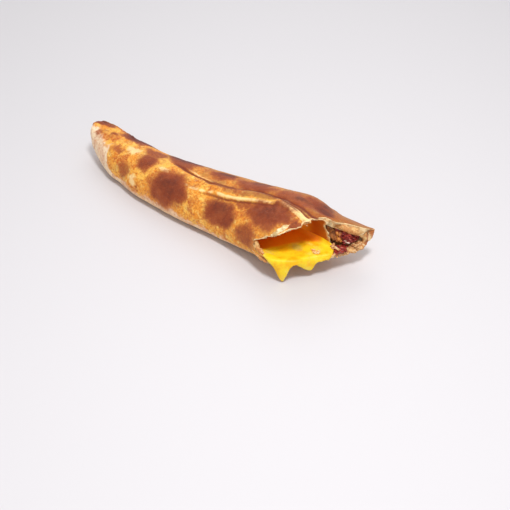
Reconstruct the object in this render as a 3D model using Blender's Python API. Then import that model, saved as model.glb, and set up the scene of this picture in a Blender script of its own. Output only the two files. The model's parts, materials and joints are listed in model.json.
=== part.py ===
"""Half of a closed pide, torn across its middle. A long boat of flat dough is folded over
its filling and baked; the torn end shows two pockets side by side: the larger one holds
melted cheese that runs over the lip in two drips, the smaller one holds dark cured meat.

X runs from the closed tail to the torn mouth, -Y is the puffed side, +Z is up, and the
middle of the underside lies on the floor. Sizes are in millimetres."""

import math

import bmesh
import bpy
import numpy as np

MM = 0.001

# ---------------------------------------------------------------- driving dimensions
TAIL_X = -178.0  # tip of the closed tail
TAIL_CAP = 7.0  # length over which the tail rounds off
TAIL_TIP = 0.3  # how much of its size the section keeps at the very tip

# The loft: stations from the tail to the lip, with the body's sizes at each of them.
STATION_X = np.array([TAIL_X, -150.0, -120.0, -80.0, -30.0, 20.0, 60.0, 100.0, 140.0])
HALF_WIDTH = np.array([14.5, 19.5, 25.0, 28.6, 32.9, 36.8, 39.3, 42.6, 44.0])
HEIGHT = np.array([17.0, 28.0, 34.0, 37.0, 40.0, 43.0, 45.0, 43.0, 38.0])
SIDE_BOW = np.array([18.0, 7.5, 0.5, -6.5, -7.8, -5.4, -9.0, -15.4, -17.5])
LIFT = np.array([18.0, 7.0, 1.0, 0.0, 0.0, 0.0, 5.5, 14.6, 17.0])
CREASE_Y = np.array([14.0, 7.0, 4.0, 3.0, -6.5, -6.0, -3.0, -16.0, -27.0])
WEB_TOP_Y = np.array([18.0, 9.0, 3.0, -3.0, -4.0, -4.0, -7.0, -12.0, -14.0])
WEB_FOOT_Y = np.array([18.0, 8.0, 2.0, -4.0, -5.0, -4.0, -4.0, -6.0, -7.0])

ROUND_TOP, FLAT_BOTTOM = 2.1, 2.9  # how square the section is above and below its widest
WIDEST_REAR, WIDEST_NEAR = 0.40, 0.28  # where it is widest, as a part of its height
SEAM_DEPTH, SEAM_WIDTH = 3.0, 5.0  # the groove beside the folded flap
FLAP_RISE, FLAP_WIDTH = 1.5, 6.0  # the flap's doubled edge, on the puffed side of it
FLAP_START, FLAP_FADE = -75.0, 60.0  # where the seam and the flap begin to show
REAR_DROP = 9.5  # how far the rear lobe has sunk at the mouth
SINK_START, SINK_LENGTH, SINK_WIDTH = 84.0, 32.0, 14.0  # where the rear lobe sinks
SOLE = 0.4  # how much of the rounded underside is pressed flat by the oven floor

WALL_ROOF, WALL_SIDE, WALL_FLOOR = 2.3, 2.6, 3.0  # dough thickness round the cheese
WALL_REAR, MOUTH_CRUMB = 4.2, 4.2  # the crumb over the meat, and its extra at the mouth
CRUMB_START, CRUMB_LENGTH = 60.0, 50.0  # where the extra crumb begins and is reached
WEB_THICK, WEB_BULGE, WEB_RECESS = 2.0, 1.5, 6.0  # the dough wall between the pockets
CLEAR = 0.9  # clearance between a filling and the dough

FRONT_POCKET_END, REAR_POCKET_END = -128.0, -105.0
POCKET_TAPER, POCKET_END = 80.0, 0.3  # length over which a pocket closes, and its end size

N_FRONT, N_REAR, N_WEB = 28, 20, 6  # columns round the front lobe, rear lobe and divider
N_RING = N_FRONT + N_REAR
ROWS, POCKET_ROWS, FILL_ROWS = 54, 28, 16
DENSE = 960  # points of the section's curve before it is spaced evenly

# The torn edge: column round the section, and the x that the dough reaches there.
TEAR_COLUMN = np.array(
    [0, 1.9, 3.6, 5.2, 7.1, 9, 10.5, 11.9, 13, 14.2, 15.2, 16.1, 17, 18, 19, 20.9]
    + [23, 24.9, 26.2, 28, 30, 32, 34, 36, 40, 43, 45, 46.5, 48]
)
TEAR_REACH = np.array(
    [133, 131, 124, 118, 113, 107.5, 101, 94, 84, 72, 73, 77, 85, 93, 102, 106.5]
    + [112, 112.5, 115.5, 122, 124, 129, 141, 147, 147, 146, 143, 138, 133]
)
RAGGED = 1.3  # how far the torn edge wanders
TORN_FACE, REAR_TORN_FACE = 1.2, 4.0  # how far the inner edge of the tear is set back

# Cheese: how far it comes up the divider and the near wall, and how it hangs over the lip
CHEESE_WEB_STEPS, CHEESE_HELD_COLUMN, CHEESE_WALL_COLUMN = 2.0, 2.4, 13.0
CHEESE_THICK, CHEESE_OUT, CHEESE_HANG = 2.6, 3.4, 4.4
DRIPS = ((10.0, 17.0, 1.15), (5.3, 5.4, 1.4))  # column, extra length, spread in columns

# Meat: how much of its pocket it fills, how far behind the tear it ends, how lumpy it is
MEAT_FILL, MEAT_BACK, MEAT_LUMP = 0.82, 2.6, 1.2


# ---------------------------------------------------------------- profile functions
def smooth(t):
    t = np.clip(t, 0.0, 1.0)
    return t * t * (3.0 - 2.0 * t)


def hermite(x, xs, ys):
    """A smooth curve through the stations that doesn't overshoot between them."""
    step = np.diff(xs)
    slope = np.diff(ys) / step
    tangent = np.zeros(len(xs))
    for i in range(1, len(xs) - 1):
        if slope[i - 1] * slope[i] > 0:
            near, far = 2 * step[i] + step[i - 1], step[i] + 2 * step[i - 1]
            tangent[i] = (near + far) / (near / slope[i - 1] + far / slope[i])
    tangent[0], tangent[-1] = slope[0], slope[-1]
    i = int(np.clip(np.searchsorted(xs, x) - 1, 0, len(xs) - 2))
    t = (x - xs[i]) / step[i]
    if t > 1.0:
        return float(ys[-1] + tangent[-1] * (x - xs[-1]))
    a, b = (1 + 2 * t) * (1 - t) ** 2, t * (1 - t) ** 2
    c, d = t * t * (3 - 2 * t), t * t * (t - 1)
    ends = ys[i] * a + ys[i + 1] * c
    return float(ends + step[i] * (tangent[i] * b + tangent[i + 1] * d))


def station(x, values):
    return hermite(x, STATION_X, values)


def signed_power(v, p):
    return np.sign(v) * np.abs(v) ** p


def outline(x):
    """Dense closed section at x, as (y, z), and the index of the divider's top. It starts
    at the divider's foot and goes round the puffed side, over the top and down the rear."""
    half, height, lift = (station(x, v) for v in (HALF_WIDTH, HEIGHT, LIFT))
    bow, crease = station(x, SIDE_BOW), station(x, CREASE_Y)
    divide, foot = station(x, WEB_TOP_Y), station(x, WEB_FOOT_Y)
    into_cap = max(TAIL_X + TAIL_CAP - x, 0.0) / TAIL_CAP
    cap = TAIL_TIP + (1.0 - TAIL_TIP) * math.sqrt(max(1.0 - into_cap**2, 0.0))
    lift += 0.45 * height * (1.0 - cap)
    half, height = half * cap, height * cap

    turn = np.linspace(math.radians(-90), math.radians(-450), DENSE, endpoint=False)
    c, s = np.cos(turn), np.sin(turn)
    above = s > 0
    lean = 0.5 * (WIDEST_REAR + WIDEST_NEAR) + 0.5 * (WIDEST_REAR - WIDEST_NEAR) * c
    y = bow + half * signed_power(c, 2 / np.where(above, ROUND_TOP, FLAT_BOTTOM))
    up = (1.0 - lean) * np.abs(s) ** (2 / ROUND_TOP)
    down = lean * np.abs(s) ** (2 / FLAT_BOTTOM)
    z = lift + height * (lean + np.where(above, up, -down))

    off = y - crease
    crown = np.where(above, smooth(s * 1.6), 0.0) * smooth((x - FLAP_START) / FLAP_FADE)
    z = z - crown * SEAM_DEPTH * np.exp(-((off / SEAM_WIDTH) ** 2))
    z = z + crown * FLAP_RISE * np.exp(-(((off + 1.25 * FLAP_WIDTH) / FLAP_WIDTH) ** 4))
    sunk = smooth((x - SINK_START) / SINK_LENGTH) * smooth((y - divide + 3.0) / SINK_WIDTH)
    z = z - np.where(above, REAR_DROP * sunk * smooth(s * 2.2), 0.0)
    z = np.maximum(z - SOLE, lift)

    start = int(np.argmin(np.where(above, 1e9, np.abs(y - foot))))
    top = int(np.argmin(np.where(above, np.abs(y - divide), 1e9)))
    points = np.roll(np.stack([y, z], 1), -start, axis=0)
    return points, (top - start) % DENSE


def even(points, count):
    """count + 1 points spaced evenly along a polyline."""
    run = np.concatenate([[0.0], np.cumsum(np.hypot(*np.diff(points, axis=0).T))])
    at = np.linspace(0.0, run[-1], count + 1)
    return np.stack([np.interp(at, run, points[:, 0]), np.interp(at, run, points[:, 1])], 1)


def section(x):
    """N_RING points round the body at x: point 0 is over the divider's foot and point
    N_FRONT over its top."""
    dense, top = outline(x)
    front = even(dense[: top + 1], N_FRONT)
    rear = even(np.concatenate([dense[top:], dense[:1]]), N_REAR)
    return np.concatenate([front[:-1], rear[:-1]])


def mouth_crumb(x):
    """How much thicker the rear lobe's crumb is towards the mouth."""
    return MOUTH_CRUMB * smooth((x - CRUMB_START) / CRUMB_LENGTH)


def walls(x):
    """Dough thickness at each column of the ring at x."""
    column = np.arange(N_RING)
    front, rear = column / N_FRONT, (column - N_FRONT) / N_REAR
    near = WALL_FLOOR + (WALL_SIDE - WALL_FLOOR) * smooth((front - 0.25) / 0.15)
    near = near + (WALL_ROOF - WALL_SIDE) * smooth((front - 0.55) / 0.15)
    crumb = WALL_REAR + mouth_crumb(x) - WALL_FLOOR
    far = WALL_FLOOR + crumb * smooth(rear / 0.2) * smooth((0.58 - rear) / 0.25)
    return np.where(column < N_FRONT, near, far)


def inset(x):
    """The section at x moved in by the dough's thickness, as N_RING points."""
    ring = section(x)
    along = np.roll(ring, -1, axis=0) - np.roll(ring, 1, axis=0)
    along /= np.hypot(along[:, 0], along[:, 1])[:, None]
    inward = np.stack([along[:, 1], -along[:, 0]], 1)
    return ring + inward * walls(x)[:, None]


def taper(x, end):
    """How much of the full pocket is open at x, for a pocket that closes at end."""
    return POCKET_END + (1.0 - POCKET_END) * smooth((x - end) / POCKET_TAPER) ** 0.7


def divider(top, foot):
    """Points down one face of the divider, between its top and its foot."""
    t = np.arange(1, N_WEB) / N_WEB
    line = top + (foot - top) * t[:, None]
    line[:, 0] += WEB_BULGE * np.sin(math.pi * t)
    return line


def front_pocket(x):
    """Closed loop of the cheese pocket at x: foot, near wall, roof, then the divider."""
    ring = inset(x)
    loop = ring[: N_FRONT + 1].copy()
    loop[0, 0] -= WEB_THICK / 2
    loop[-1, 0] -= WEB_THICK / 2
    loop = np.concatenate([loop, divider(loop[-1], loop[0])])
    middle = loop.mean(axis=0)
    return middle + (loop - middle) * taper(x, FRONT_POCKET_END)


def rear_pocket(x):
    """Closed loop of the meat pocket at x: roof, far wall, foot, then the divider."""
    ring = inset(x)
    loop = np.concatenate([ring[N_FRONT:], ring[:1]])
    loop[0] += (WEB_THICK / 2, -0.8 * mouth_crumb(x))
    loop[-1, 0] += WEB_THICK / 2
    for _ in range(4):
        loop[1:-1] = 0.5 * loop[1:-1] + 0.25 * (loop[:-2] + loop[2:])
    loop = np.concatenate([loop, divider(loop[0], loop[-1])[::-1]])
    middle = loop.mean(axis=0)
    return middle + (loop - middle) * taper(x, REAR_POCKET_END)


def wander(column, seed):
    """The small in and out of a torn edge, the same on every run."""
    waves = ((1.9, 0.45), (3.1, 0.3), (5.3, 0.25))
    return sum(size * np.sin(rate * column + seed * rate + seed) for rate, size in waves)


def tear(column):
    """x of the torn edge on the outside of the dough."""
    whole = np.arange(N_RING)
    reach = np.array([hermite(c, TEAR_COLUMN, TEAR_REACH) for c in whole])
    reach = reach + RAGGED * wander(whole * 1.0, 1.7)
    return np.interp(column % N_RING, np.arange(N_RING + 1), np.append(reach, reach[0]))


def inner_tear(column):
    """x of the torn edge on the inside, a little behind the outside one."""
    rear = smooth((column - N_FRONT) / 2.0) * smooth((N_FRONT + 13.0 - column) / 4.0)
    face = TORN_FACE + (REAR_TORN_FACE - TORN_FACE) * rear
    return tear(column) - face - 0.7 * wander(column * 1.0, 4.2)


def divider_tear(steps):
    """x of the torn edge down the divider, from its top to its foot."""
    t = steps / N_WEB
    top, foot = inner_tear(np.array([N_FRONT, 0]))
    return top + (foot - top) * t - WEB_RECESS * np.sin(math.pi * t**1.5)


# ---------------------------------------------------------------- mesh helpers
class Shell:
    """Gathers vertices and faces, then becomes one closed mesh object."""

    def __init__(self):
        self.points, self.faces = [], []

    def add(self, points):
        first = len(self.points)
        self.points.extend(map(tuple, points))
        return list(range(first, len(self.points)))

    def band(self, one, other, close=True):
        """Quads between two rows of the same length."""
        count = len(one) if close else len(one) - 1
        for i in range(count):
            j = (i + 1) % len(one)
            corners = (one[i], one[j], other[j], other[i])
            face = [c for n, c in enumerate(corners) if c != corners[n - 1]]
            if len(face) > 2:
                self.faces.append(face)

    def fan(self, row, middle):
        (tip,) = self.add([middle])
        for i in range(len(row)):
            self.faces.append([row[i], row[(i + 1) % len(row)], tip])

    def build(self, name, slot, colour, roughness):
        mesh = bpy.data.meshes.new(name)
        mesh.from_pydata([(x * MM, y * MM, z * MM) for x, y, z in self.points], [], self.faces)
        shape = bmesh.new()
        shape.from_mesh(mesh)
        bmesh.ops.recalc_face_normals(shape, faces=shape.faces)
        bmesh.ops.triangulate(shape, faces=shape.faces, quad_method="SHORT_EDGE")
        shape.to_mesh(mesh)
        shape.free()
        body = bpy.data.objects.new(name, mesh)
        bpy.context.scene.collection.objects.link(body)
        paint = bpy.data.materials.new(slot)
        paint.use_nodes = True
        bsdf = paint.node_tree.nodes["Principled BSDF"]
        bsdf.inputs["Base Color"].default_value = (*colour, 1.0)
        bsdf.inputs["Roughness"].default_value = roughness
        mesh.materials.append(paint)
        return body


def row_points(loop_at, reaches, start, share):
    """One row of a surface whose columns end at their own x."""
    points = []
    for i, reach in enumerate(reaches):
        x = start + (reach - start) * share
        points.append((x, *loop_at(x)[i]))
    return points


# ---------------------------------------------------------------- the baked dough
def make_crust():
    shell = Shell()
    columns = np.arange(N_RING)
    outer = []
    for k in range(ROWS + 1):
        t = k / ROWS
        share = t - 0.045 * math.sin(2 * math.pi * t)
        outer.append(shell.add(row_points(section, tear(columns), TAIL_X, share)))
    for one, other in zip(outer, outer[1:]):
        shell.band(one, other)
    middle = section(TAIL_X).mean(axis=0)
    shell.fan(outer[0], (TAIL_X - 1.0, *middle))

    steps = np.arange(1, N_WEB)
    front_x = np.concatenate([inner_tear(np.arange(N_FRONT + 1)), divider_tear(steps)])
    rear_x = np.concatenate([inner_tear(np.arange(N_FRONT, N_RING + 1)), divider_tear(steps)[::-1]])
    rims = []
    for loop_at, reaches, end in (
        (front_pocket, front_x, FRONT_POCKET_END),
        (rear_pocket, rear_x, REAR_POCKET_END),
    ):
        rows = []
        for k in range(POCKET_ROWS + 1):
            rows.append(shell.add(row_points(loop_at, reaches, end, k / POCKET_ROWS)))
        for one, other in zip(rows, rows[1:]):
            shell.band(one, other)
        shell.fan(rows[0], (end - 1.0, *loop_at(end).mean(axis=0)))
        rims.append(rows[-1])
    front, rear = rims

    ring = outer[-1]
    shell.band(ring[: N_FRONT + 1], front[: N_FRONT + 1], close=False)
    shell.band(ring[N_FRONT:] + ring[:1], rear[: N_REAR + 1], close=False)
    front_web = front[N_FRONT:] + front[:1]
    rear_web = [rear[0]] + rear[N_REAR + 1 :][::-1] + [rear[N_REAR]]
    shell.band(front_web, rear_web, close=False)
    shell.faces.append([ring[N_FRONT], front[N_FRONT], rear[0]])
    shell.faces.append([ring[0], front[0], rear[N_REAR]])
    return shell


# ---------------------------------------------------------------- the melted cheese
def between(rows, at):
    """Points at fractional places along a closed list of points."""
    low = np.floor(at).astype(int)
    part = (at - low).reshape(-1, *[1] * (rows.ndim - 1))
    return rows[low % len(rows)] * (1 - part) + rows[(low + 1) % len(rows)] * part


def shrunk(loop, by):
    """A pocket's loop moved in towards its middle."""
    middle = loop.mean(axis=0)
    arm = loop - middle
    return middle + arm * np.maximum(1.0 - by / np.hypot(arm[:, 0], arm[:, 1]), 0.4)[:, None]


def relaxed(loop):
    """A loop with its sharp corners drawn in."""
    for _ in range(3):
        loop = 0.5 * loop + 0.25 * (np.roll(loop, 1, axis=0) + np.roll(loop, -1, axis=0))
    return loop


def hang(column):
    """How far the cheese hangs below the top of the lip at a column."""
    ends = smooth((column - 0.5) / 2.0) * smooth((CHEESE_WALL_COLUMN - column) / 2.5)
    length = CHEESE_HANG * (0.25 + 0.75 * ends + 0.12 * np.sin(2.3 * column))
    for middle, extra, spread in DRIPS:
        length = length + extra * np.exp(-(np.abs((column - middle) / spread) ** 2.0))
    return length


def lip_frame(columns):
    """The top of the torn edge at each column, the same further in, and the way out."""
    reach = tear(columns)
    outside = np.array([between(section(x), np.array([c]))[0] for x, c in zip(reach, columns)])
    inside = np.array([between(inset(x), np.array([c]))[0] for x, c in zip(reach, columns)])
    crest = np.maximum(outside[:, 1], inside[:, 1]) + CLEAR
    lip = np.stack([reach, outside[:, 0], crest], 1)
    brow = np.stack([reach, 0.4 * outside[:, 0] + 0.6 * inside[:, 0], crest], 1)
    run = np.gradient(lip[:, :2], axis=0)
    padded = np.pad(run, ((3, 3), (0, 0)), mode="edge")
    run = np.stack([np.convolve(padded[:, a], np.ones(7) / 7, mode="valid") for a in (0, 1)], 1)
    run /= np.hypot(run[:, 0], run[:, 1])[:, None]
    return lip, brow, np.stack([-run[:, 1], run[:, 0], 0 * run[:, 0]], 1)


def make_cheese():
    shell = Shell()
    columns = np.concatenate(
        [np.arange(-CHEESE_WEB_STEPS, 0), np.arange(0, CHEESE_WALL_COLUMN + 0.1, 0.5)]
    )
    count = len(columns)
    across = np.linspace(0.0, 1.0, count)
    middle = np.minimum(across, 1.0 - across)
    rim = np.where(
        columns < 0,
        divider_tear(N_WEB + np.minimum(columns, 0.0)),
        inner_tear(np.maximum(columns, 0.0)),
    )
    held = (columns < CHEESE_HELD_COLUMN)[:, None]
    rim = rim - 2.2 * np.maximum(CHEESE_HELD_COLUMN - columns, 0.0)
    end = FRONT_POCKET_END + 2.0
    lows, highs = [], []
    for k in range(FILL_ROWS + 1):
        share = 1.0 - (1.0 - k / FILL_ROWS) ** 1.5
        slope = smooth((share - 0.78) / 0.22) * smooth(middle / 0.16)
        low, high = np.zeros((count, 3)), np.zeros((count, 3))
        for i in range(count):
            x = end + (rim[i] - 1.2 - end) * share
            wall = between(shrunk(front_pocket(x), 1.2 * CLEAR), columns)
            web, near = wall[0], wall[-1]
            part = (wall[i, 0] - web[0]) / (near[0] - web[0])
            part = 0.5 * min(max(part, 0.0), 1.0) + 0.5 * across[i]
            flat = web + (near - web) * part
            brim = wall[i] + (0.0, CHEESE_THICK)
            flat = flat + (brim - flat) * slope[i]
            low[i], high[i] = (x, *wall[i]), (x, *flat)
        lows.append(low)
        highs.append(high)

    # Past the torn edge: over the lip and down, or a blunt nose where the divider holds it.
    lip, brow, out = lip_frame(np.maximum(columns, 0.0))
    wide = (0.3 + 0.7 * smooth((CHEESE_WALL_COLUMN - columns) / 3.0))[:, None]
    out, up = out * CHEESE_OUT * wide, np.array([0.0, 0.0, CHEESE_THICK]) * wide
    down = np.array([0.0, 0.0, -1.0]) * hang(np.maximum(columns, 0.0))[:, None]
    ahead, stem, crown = np.array([3.0, 0.0, 0.0]), lows[-1], highs[-1] - lows[-1]
    profile = (  # under side: out, share of the hang; outer side: out, rise, share of the hang
        (0.0, 0.0, 0.0, 1.0, 0.0),
        (0.3, 0.0, 0.6, 0.95, 0.0),
        (0.3, 0.2, 1.03, 0.5, 0.05),
        (0.3, 0.45, 1.15, 0.0, 0.32),
        (0.33, 0.7, 1.12, 0.0, 0.6),
        (0.43, 0.9, 1.0, 0.0, 0.86),
        (0.7, 1.0, 0.7, 0.0, 1.0),
    )
    for n, (low_out, low_down, high_out, rise, high_down) in enumerate(profile):
        t = (n + 1) / len(profile)
        turn = 0.5 * math.pi * t
        base = brow if n == 0 else lip
        low = base + out * low_out + down * low_down
        high = base + out * high_out + up * rise + down * high_down
        nose = stem + ahead * math.sin(turn) + crown * math.cos(turn)
        lows.append(np.where(held, stem + ahead * t, low))
        highs.append(np.where(held, nose, high))

    previous = None
    for n, (low, high) in enumerate(zip(lows, highs)):
        base = shell.add(low)
        if n == len(lows) - 1:
            row = base + base[1:-1][::-1]
        else:
            row = base + shell.add(high[1:-1])[::-1]
        if previous is None:
            shell.fan(row, np.array([shell.points[v] for v in row]).mean(axis=0) - (1.0, 0, 0))
        else:
            shell.band(previous, row)
        previous = row
    return shell


# ---------------------------------------------------------------- the cured meat
def make_meat():
    shell = Shell()
    count = N_REAR + N_WEB
    rim = np.concatenate(
        [inner_tear(np.arange(N_FRONT, N_RING + 1)), divider_tear(np.arange(1, N_WEB))[::-1]]
    )
    low_rim = rim.min()
    rim = low_rim + (rim - low_rim) * 0.8 - MEAT_BACK
    end, flat = REAR_POCKET_END + 15.0, rim.mean()
    around = np.arange(count)
    previous = None
    stages = [(1.0 - (1.0 - k / FILL_ROWS) ** 1.6, 1.0, 0.0) for k in range(FILL_ROWS + 1)]
    stages += [(1.0, 0.75, 1.0), (1.0, 0.48, 2.2), (1.0, 0.22, 2.6)]
    for k, (share, size, ahead) in enumerate(stages):
        points = []
        k = min(k, FILL_ROWS)
        lump = MEAT_LUMP * (0.5 + 0.5 * np.sin(1.7 * around + 1.3 * k) * np.sin(0.9 * around - k))
        for i in range(count):
            x = end + (rim[i] - end) * share
            loop = relaxed(rear_pocket(x))
            middle = loop.mean(axis=0)
            arm = MEAT_FILL * (loop[i] - middle)
            arm = arm * (1.0 - lump[i] / np.hypot(*arm)) * size
            x = flat + (x - flat) * size**0.5
            points.append((x + ahead, *(middle + arm)))
        row = shell.add(points)
        if previous is None:
            shell.fan(row, np.mean(points, axis=0) - (1.0, 0, 0))
        else:
            shell.band(previous, row)
        previous = row
    shell.fan(previous, np.mean([shell.points[v] for v in previous], axis=0) + (0.6, 0, 0))
    return shell


# ---------------------------------------------------------------- assembly
def main():
    for old in list(bpy.data.objects):
        bpy.data.objects.remove(old, do_unlink=True)
    crust, cheese, meat = make_crust(), make_cheese(), make_meat()
    every = np.array(crust.points + cheese.points + meat.points)
    low, high = every.min(axis=0), every.max(axis=0)
    shift = np.array([(low[0] + high[0]) / 2, (low[1] + high[1]) / 2, low[2]])
    for shell in (crust, cheese, meat):
        shell.points = [tuple(np.array(p) - shift) for p in shell.points]
    crust.build("crust", "baked_dough", (0.62, 0.27, 0.07), 0.7)
    cheese.build("cheese", "melted_cheese", (0.9, 0.55, 0.02), 0.3)
    meat.build("meat", "cured_meat", (0.22, 0.03, 0.02), 0.5)
    print("size", np.round(high - low, 1), "shift", np.round(shift, 2))


main()
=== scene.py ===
# %% [markdown]
# # Half of a closed pide, torn open
# A pide is a long boat of flat bread dough. This one was folded over its filling, baked on a
# hot stone and torn in two, so one end is closed and the other shows the filling. The solids
# from the part's own file are the frame. The cells below dress one after another: first the
# shape, then the colours, and at the end come the light and the camera.
#
# Lengths are in millimetres. The tail lies at low x and the torn mouth at high x, the near
# side at low y and the rear at high y.

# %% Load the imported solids
import json
import math
import random

import bmesh
import bpy
import numpy as np
from mathutils import Euler, Matrix, Vector, kdtree, noise

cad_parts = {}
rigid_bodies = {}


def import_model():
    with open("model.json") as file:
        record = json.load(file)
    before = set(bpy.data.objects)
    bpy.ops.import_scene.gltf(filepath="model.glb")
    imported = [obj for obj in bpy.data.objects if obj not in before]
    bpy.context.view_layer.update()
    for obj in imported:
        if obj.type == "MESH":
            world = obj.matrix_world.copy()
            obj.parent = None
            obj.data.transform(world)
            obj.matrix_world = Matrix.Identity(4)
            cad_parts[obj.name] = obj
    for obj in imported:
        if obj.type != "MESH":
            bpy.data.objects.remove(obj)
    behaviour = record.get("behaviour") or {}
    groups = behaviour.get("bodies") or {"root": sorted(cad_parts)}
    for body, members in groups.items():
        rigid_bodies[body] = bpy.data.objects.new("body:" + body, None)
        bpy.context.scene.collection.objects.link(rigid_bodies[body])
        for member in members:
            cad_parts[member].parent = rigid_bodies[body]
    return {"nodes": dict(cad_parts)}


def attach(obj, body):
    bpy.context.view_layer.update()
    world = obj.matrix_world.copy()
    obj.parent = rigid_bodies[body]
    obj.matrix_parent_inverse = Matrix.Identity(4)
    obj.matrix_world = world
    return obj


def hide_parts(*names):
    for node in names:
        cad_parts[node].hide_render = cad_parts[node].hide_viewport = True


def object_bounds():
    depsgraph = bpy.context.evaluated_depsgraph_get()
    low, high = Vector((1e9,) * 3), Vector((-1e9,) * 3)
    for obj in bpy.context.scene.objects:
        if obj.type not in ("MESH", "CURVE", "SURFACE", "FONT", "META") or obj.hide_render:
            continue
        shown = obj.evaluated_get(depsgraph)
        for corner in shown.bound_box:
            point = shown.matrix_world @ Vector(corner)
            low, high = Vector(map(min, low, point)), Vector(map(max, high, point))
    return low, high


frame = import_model()
cad_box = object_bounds()
MM = 0.001
low, high = (np.array(end) / MM for end in cad_box)
print("frame:", sorted(frame["nodes"]), "box", [round(v) for v in high - low])


# %% [markdown]
# ## Small helpers
# Colours are easier to name as they look on a screen, so `tone` turns such a colour into the
# linear one that Blender works with. `smooth` is the soft step that blends one thing into
# another: it is 0 below 0 and 1 above 1, with no corner between. A `ramp` is such a step
# between two places along x, and a `ridge` is a soft bump that is 1 at its middle.

# %% Helpers for colour and blending
def tone(red, green, blue):
    """A screen colour, 0 to 255, as Blender's linear colour."""
    parts = np.array([red, green, blue]) / 255.0
    linear = np.where(parts <= 0.04045, parts / 12.92, ((parts + 0.055) / 1.055) ** 2.4)
    return (*(float(v) for v in linear), 1.0)


def smooth(t):
    t = np.clip(t, 0.0, 1.0)
    return t * t * (3.0 - 2.0 * t)


def along(x, stops):
    """A value read at x from (x, value) stops joined by straight lines."""
    xs, values = np.array(stops, float).T
    return np.interp(x, xs, values)


def ramp(x, start, full, fade=None, end=None):
    """0 before start, 1 after full and, if it fades, back to 0 from fade to end."""
    rise = smooth((x - start) / (full - start))
    return rise if fade is None else rise * smooth((end - x) / (end - fade))


def ridge(offset, width):
    """1 where the offset is 0, falling away on both sides over this width."""
    return np.exp(-((offset / width) ** 2))


# %% [markdown]
# Nothing baked or torn is regular, so most steps add some smooth noise. `ripple` is one wave
# size of it, and `ripples` adds up several, from the large swells to the fine grain.

# %% Helpers for smooth noise
def ripple(points, size, seed):
    """Smooth noise from -1 to 1, with features of about this size in millimetres."""
    shift = Vector((seed * 7.3, seed * 3.1, seed * 5.7))
    return np.array([noise.noise(Vector(p) / size + shift) for p in points])


def ripples(points, *waves):
    """The sum of ripples, each given as (height, size, seed)."""
    return sum(height * ripple(points, size, seed) for height, size, seed in waves)


def patch(points, middle, half_length, half_width, edge):
    """1 inside a round patch, 0 outside; edge is how far out the soft border reaches."""
    away = points - np.array(middle)
    across = (away[:, 1] ** 2 + away[:, 2] ** 2) / half_width**2
    reach = np.sqrt((away[:, 0] / half_length) ** 2 + across)
    return smooth((1.0 + edge - reach) / (2.0 * edge))


# %% [markdown]
# ## Working copies
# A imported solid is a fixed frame: it is never edited. Each large visible piece starts as a
# copy of its solid. The copy's loose triangles are merged, turned back into quads and
# subdivided, so that there are enough points for fine relief.

# %% Copy a solid as a smooth quad mesh
SAME_POINT = 0.02  # points nearer than this are one point


def only(piece):
    """Selects this piece alone, and makes it the active one."""
    bpy.ops.object.select_all(action="DESELECT")
    piece.select_set(True)
    bpy.context.view_layer.objects.active = piece


def apply_modifier(piece, modifier):
    only(piece)
    bpy.ops.object.modifier_apply(modifier=modifier.name)


def copy_of(node, name):
    """A piece with the node's mesh, in quads where two triangles form one."""
    piece = bpy.data.objects.new(name, frame["nodes"][node].data.copy())
    bpy.context.scene.collection.objects.link(piece)
    piece.data.name = name
    piece.data.materials.clear()
    only(piece)
    bpy.ops.object.mode_set(mode="EDIT")
    bpy.ops.mesh.select_all(action="SELECT")
    bpy.ops.mesh.remove_doubles(threshold=SAME_POINT * MM)
    bpy.ops.mesh.tris_convert_to_quads(
        face_threshold=math.radians(50), shape_threshold=math.radians(70)
    )
    bpy.ops.mesh.select_all(action="DESELECT")
    bpy.ops.object.mode_set(mode="OBJECT")
    return piece


def subdivided(piece, levels):
    shape = piece.modifiers.new("Subdivision", "SUBSURF")
    shape.levels = shape.render_levels = levels
    apply_modifier(piece, shape)
    bpy.ops.object.shade_smooth()


# %% Read, move and paint the points of a piece
def points_of(piece):
    flat = np.empty(len(piece.data.vertices) * 3)
    piece.data.vertices.foreach_get("co", flat)
    return flat.reshape(-1, 3) / MM


def normals_of(piece):
    flat = np.empty(len(piece.data.vertices) * 3)
    piece.data.vertex_normals.foreach_get("vector", flat)
    return flat.reshape(-1, 3)


def move_points(piece, points):
    piece.data.vertices.foreach_set("co", (points * MM).ravel())
    piece.data.update()


def paint(piece, name, values):
    """Stores one number for each point, which the piece's material reads by name."""
    layer = piece.data.attributes.new(name, "FLOAT", "POINT")
    layer.data.foreach_set("value", np.clip(values, 0.0, 1.0).astype(np.float32))


# %% [markdown]
# ## The baked dough: which surface is which
# The dough shows four surfaces: the baked skin, the torn crumb round the mouth, and the
# insides of the two pockets. On the plain solid a sharp edge runs all round the tear, so the
# skin is everything that can be reached from the tail without crossing a sharp edge. What is
# left is torn crumb where it faces forward, and pocket wall where it doesn't.

# %% Find the skin from a face on the tail
SKIN, CRUMB, CHEESE_POCKET, MEAT_POCKET = range(4)
SHARP_CORNER = 42  # degrees
EDGE_STIFFNESS = 0.75  # how much of a sharp edge stays when the mesh is subdivided
ON_THE_TAIL = -60.0

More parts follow.
